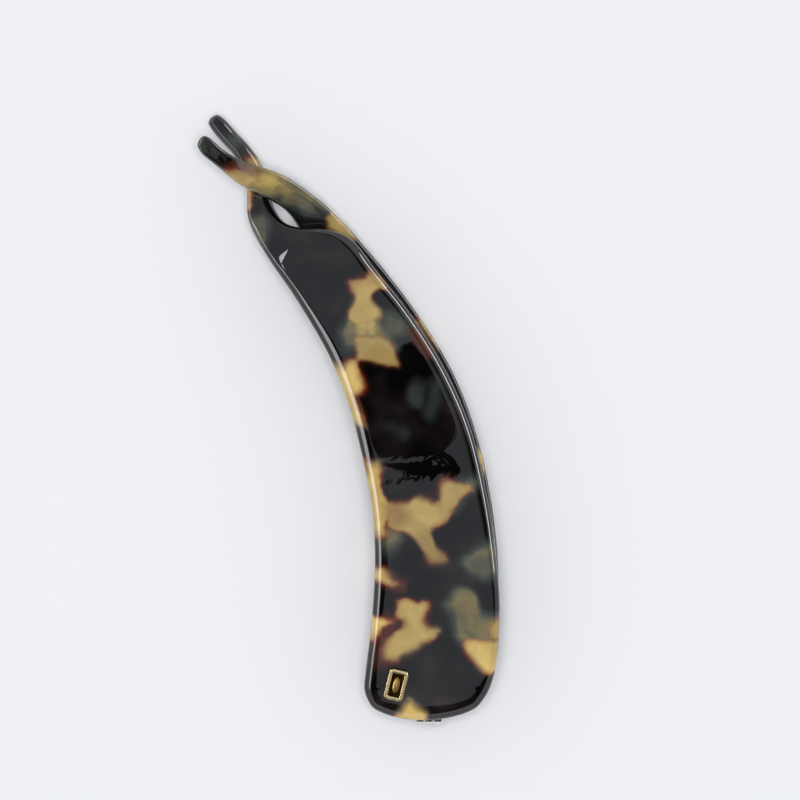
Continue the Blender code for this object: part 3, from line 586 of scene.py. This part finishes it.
def hinge_steel():
    """Nickel-plated steel, barrel-polished: bright, with a faint uneven sheen."""
    mat, tree, shader = material("nickel-plated steel")
    place = node(tree, "ShaderNodeTexCoord")
    grain = node(tree, "ShaderNodeTexNoise", {
        "Vector": (place, "Object"), "Scale": 1 / (STEEL_GRAIN * MM), "Detail": 3.0})
    sheen = node(tree, "ShaderNodeMapRange", {
        "Value": (grain, "Fac"), "From Min": 0.3, "From Max": 0.7, "To Min": 0.16, "To Max": 0.3})
    tree.links.new(sheen.outputs["Result"], shader.inputs["Roughness"])
    shader.inputs["Base Color"].default_value = linear("#d8d6d2")
    shader.inputs["Metallic"].default_value = 1.0
    return mat


def dress_arms(acetate):
    """Dresses a smooth copy of each arm in acetate, with that arm's own chips."""
    for cad_name, name, body, kinds in (
        ("front_arm", "front_arm_acetate", "front",
         (("honey", FRONT_HONEY), ("olive", FRONT_OLIVE_AND_SHEEN), ("stain", FRONT_STAIN))),
        ("back_arm", "back_arm_acetate", "back",
         (("honey", BACK_HONEY + lumpy(BACK_PLATE_HONEY, seed=3)),
          ("olive", BACK_OLIVE_AND_HIGHLIGHT + lumpy(BACK_PLATE_OLIVE, seed=5)),
          ("stain", BACK_STAIN + lumpy(BACK_PLATE_STAIN, seed=8)))),
    ):
        arm = smooth_arm(cad_name, name)
        for kind, chips in kinds:
            lay_up(arm, kind, chips)
        arm.data.materials.clear()
        arm.data.materials.append(acetate)
        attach(arm, body)
        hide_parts(cad_name)


def plaque(gold):
    """The small gold plaque: a raised border round a sunk field with a plain oval boss."""
    corners = np.array([v.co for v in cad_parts["emblem"].data.vertices])
    centre = (corners.max(axis=0) + corners.min(axis=0)) / 2
    _, _, axes = np.linalg.svd(corners - corners.mean(axis=0), full_matrices=False)
    long, _, thick = (Vector(axis) for axis in axes)
    if thick.z < 0:
        thick = -thick
    if long.y < 0:
        long = -long
    wide = long.cross(thick)

    bpy.ops.object.select_all(action="DESELECT")
    bpy.ops.mesh.primitive_cube_add(size=1.0)
    ob = bpy.context.object
    ob.name = "gold_plaque"
    bpy.ops.object.mode_set(mode="EDIT")
    bpy.ops.transform.resize(value=(PLAQUE_WIDTH * MM, PLAQUE_LENGTH * MM, PLAQUE_THICK * MM))
    pick(ob, "EDGE", lambda edge, verts: abs(verts[0].co.z - verts[1].co.z) > PLAQUE_THICK * MM / 2)
    bpy.ops.mesh.bevel(offset=PLAQUE_CORNER * MM, segments=8)
    pick(ob, "FACE", lambda face, verts: face.normal.z > 0.9)
    bpy.ops.mesh.inset(thickness=PLAQUE_BORDER * MM)
    bpy.ops.mesh.extrude_region_move(TRANSFORM_OT_translate={"value": (0, 0, -PLAQUE_SUNK * MM)})
    bpy.ops.object.mode_set(mode="OBJECT")
    soften(ob, EDGE_BREAK, segments=3)

    bpy.ops.object.select_all(action="DESELECT")
    field = PLAQUE_THICK / 2 - PLAQUE_SUNK
    bpy.ops.mesh.primitive_uv_sphere_add(
        segments=32, ring_count=16, radius=MM, location=(0, 0, (field - BOSS_FOOT) * MM),
        scale=(BOSS_WIDTH / 2, BOSS_LENGTH / 2, BOSS_RISE))
    boss = bpy.context.object
    only(ob)
    join = ob.modifiers.new("boss", "BOOLEAN")
    join.operation = "UNION"
    join.object = boss
    bpy.ops.object.modifier_apply(modifier="boss")
    bpy.data.objects.remove(boss, do_unlink=True)

    inner = Vector((PLAQUE_WIDTH / 2 - PLAQUE_BORDER, PLAQUE_LENGTH / 2 - PLAQUE_BORDER)) * MM
    recess = [
        min(max((PLAQUE_THICK / 2 * MM - v.co.z) / (PLAQUE_SUNK * MM), 0.0), 1.0)
        if abs(v.co.x) < inner.x and abs(v.co.y) < inner.y and v.co.z > 0 else 0.0
        for v in ob.data.vertices]
    ob.data.attributes.new("recess", "FLOAT", "POINT").data.foreach_set("value", recess)
    ob.matrix_world = Matrix.Translation(Vector(centre)) @ Matrix((wide, long, thick)).transposed().to_4x4()
    bpy.ops.object.transform_apply(location=True, rotation=True, scale=True)
    bpy.ops.object.shade_smooth_by_angle(angle=radians(CREASE))
    ob.data.materials.clear()
    ob.data.materials.append(gold)
    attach(ob, "front")
    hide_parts("emblem")


def hinge(steel):
    """The hinge's leaves and pin, with the broken edges of stamped and tumbled steel."""
    for cad_name, name, body in (("hinge_leaf_front", "front_leaf_steel", "front"),
                                 ("hinge_leaf_back", "back_leaf_steel", "back"),
                                 ("hinge_pin", "pin_steel", "back")):
        ob = bpy.data.objects.new(name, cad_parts[cad_name].data.copy())
        bpy.context.scene.collection.objects.link(ob)
        only(ob)
        bpy.ops.object.mode_set(mode="EDIT")
        bpy.ops.mesh.select_all(action="SELECT")
        bpy.ops.mesh.remove_doubles(threshold=MERGE)
        bpy.ops.mesh.dissolve_limited(angle_limit=radians(FLAT))
        bpy.ops.object.mode_set(mode="OBJECT")
        soften(ob, EDGE_BREAK, segments=2)
        bpy.ops.object.shade_smooth_by_angle(angle=radians(CREASE))
        ob.data.materials.clear()
        ob.data.materials.append(steel)
        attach(ob, body)
        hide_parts(cad_name)


def glow(ob, name, strength, tint=WHITE):
    """Makes an object a studio card that only the clip's gloss sees, and not the camera."""
    mat, _, shader = material(name)
    shader.inputs["Base Color"].default_value = (0, 0, 0, 1)
    shader.inputs["Specular IOR Level"].default_value = 0.0
    shader.inputs["Emission Color"].default_value = linear(tint)
    shader.inputs["Emission Strength"].default_value = strength
    ob.name = name
    ob.data.materials.append(mat)
    ob.visible_camera = False
    ob.visible_diffuse = False
    ob.visible_shadow = False


def card(name, centre, size, turn, strength, tint=WHITE):
    """A flat rectangular card: its centre and size in mm, and its turn in degrees."""
    bpy.ops.object.select_all(action="DESELECT")
    bpy.ops.mesh.primitive_plane_add(
        size=1.0, location=Vector(centre) * MM, rotation=[radians(a) for a in turn])
    ob = bpy.context.object
    ob.scale = (size[0] * MM, size[1] * MM, 1)
    glow(ob, name, strength, tint)


def cut_card(name, outline, place, strength, tint=WHITE, upright=False):
    """A card cut to an outline, in mm: level at a height, or upright along Y at an x."""
    bpy.ops.object.select_all(action="DESELECT")
    bpy.ops.mesh.primitive_circle_add(vertices=len(outline), fill_type="NGON")
    ob = bpy.context.object
    for vert, (x, y) in zip(ob.data.vertices, outline):
        vert.co = Vector((place, x, y) if upright else (x, y, place)) * MM
    glow(ob, name, strength, tint)


def fringe_card(name, edges, reach, height, strength, seed):
    """A level card between two edges, in mm, with teeth on the lower one, like the nap of cloth."""
    places, tops, bottoms = zip(*edges)
    rng = Random(seed)
    bpy.ops.object.select_all(action="DESELECT")
    bpy.ops.mesh.primitive_grid_add(x_subdivisions=FRINGE_TEETH, y_subdivisions=1, size=1.0)
    ob = bpy.context.object
    for vert in ob.data.vertices:
        x = places[0] + (places[-1] - places[0]) * (vert.co.x + 0.5)
        if vert.co.y > 0:
            y = np.interp(x, places, tops) + rng.uniform(-FRINGE_WOBBLE, FRINGE_WOBBLE)
        else:
            y = np.interp(x, places, bottoms) - rng.random() ** 2 * reach
        vert.co = Vector((x, y, height)) * MM
    glow(ob, name, strength)


def studio():
    """A white tabletop under a soft overhead light, with cards for the polish to mirror."""
    bpy.ops.object.select_all(action="DESELECT")
    bpy.ops.mesh.primitive_plane_add(size=TABLETOP_SIZE * MM, location=(0, 0, 0))
    floor = bpy.context.object
    floor.name = "tabletop"
    mat, _, shader = material("matt white tabletop")
    shader.inputs["Base Color"].default_value = linear("#ebecef")
    shader.inputs["Roughness"].default_value = 0.6
    shader.inputs["Specular IOR Level"].default_value = 0.0
    floor.data.materials.append(mat)

    world = bpy.data.worlds.new("even light")
    bpy.context.scene.world = world
    world.use_nodes = True
    tree = world.node_tree
    back = tree.nodes["Background"]
    back.inputs["Color"].default_value = linear(WHITE)
    back.inputs["Strength"].default_value = FILL
    room = node(tree, "ShaderNodeBackground", {"Color": linear("#ffffff"), "Strength": ROOM})
    path = node(tree, "ShaderNodeLightPath")
    both = node(tree, "ShaderNodeMixShader", {0: (path, "Is Glossy Ray")})
    tree.links.new(back.outputs[0], both.inputs[1])
    tree.links.new(room.outputs[0], both.inputs[2])
    tree.links.new(both.outputs[0], tree.nodes["World Output"].inputs["Surface"])

    lamp = bpy.data.lights.new("overhead softbox", "AREA")
    lamp.shape = "DISK"
    lamp.size = SOFTBOX_SIZE * MM
    lamp.energy = SOFTBOX_POWER
    ob = bpy.data.objects.new("overhead softbox", lamp)
    ob.location = Vector((0, 0, SOFTBOX_HEIGHT)) * MM
    ob.visible_glossy = False
    bpy.context.scene.collection.objects.link(ob)

    cut_card("overhead panel, lower half", LOWER_PANEL, PANEL_HEIGHT, PANEL, PANEL_WHITE)
    for name, x, y, width, length, turn, strength in PANEL_CARDS:
        card(name, (x, y, PANEL_HEIGHT), (width, length), (0, 0, turn), strength, PANEL_WHITE)
    cut_card("dark gap in the panel", DARK_GAP, DARK_HEIGHT, strength=0.0)
    cut_card("dark arc beside the gap", DARK_ARC, ARC_HEIGHT, strength=0.0)
    fringe_card("upper fringe", UPPER_FRINGE, UPPER_REACH, FRINGE_HEIGHT, strength=0.0, seed=4)
    fringe_card("lower fringe", LOWER_FRINGE, LOWER_REACH, FRINGE_HEIGHT, strength=0.0, seed=9)
    cut_card("small bright card", BRIGHT_TEAR, DARK_HEIGHT, TEAR)

    bpy.ops.object.select_all(action="DESELECT")
    bpy.ops.mesh.primitive_cylinder_add(
        vertices=WALL_SIDES, radius=WALL_RADIUS * MM, depth=WALL_HEIGHT * MM,
        end_fill_type="NOTHING", location=(0, 0, WALL_HEIGHT / 2 * MM))
    wall = bpy.context.object
    for vert in wall.data.vertices:
        if vert.co.z > 0:
            facing = vert.co.to_2d().normalized().dot(Vector(WALL_GAP).normalized())
            low = (facing - WALL_GAP_EDGE) / (WALL_GAP_FLOOR - WALL_GAP_EDGE)
            low = min(max(low, 0.0), 1.0)
            vert.co.z -= low * (WALL_HEIGHT - WALL_LOWEST) * MM
    glow(wall, "white wall", WALL)
    cut_card("left strip light", LEFT_STRIP, STRIP_PLACE, STRIP, upright=True)
    cut_card("foot of the left strip light", LEFT_STRIP_FOOT, STRIP_PLACE, STRIP_FOOT, upright=True)
    card("thin line light", LINE_CENTRE, LINE_SIZE, LINE_TURN, LINE)


def camera():
    """The photograph's view, straight down."""
    data = bpy.data.cameras.new("photograph")
    data.sensor_width = SENSOR
    data.lens = SENSOR * CAMERA_RISE / VIEW_WIDTH
    data.clip_start = CLIP_START * MM
    ob = bpy.data.objects.new("photograph", data)
    ob.location = Vector((CAMERA_X, CAMERA_Y, MID_Z + CAMERA_RISE)) * MM
    bpy.context.scene.collection.objects.link(ob)
    bpy.context.scene.camera = ob


def main():
    """Dresses the clip, and sets up its studio and the photograph's view."""
    acetate = tortoiseshell()
    dress_arms(acetate)
    plaque(gold_plate())
    hinge(hinge_steel())
    studio()
    camera()
    bpy.context.scene.view_settings.view_transform = "Standard"


main()
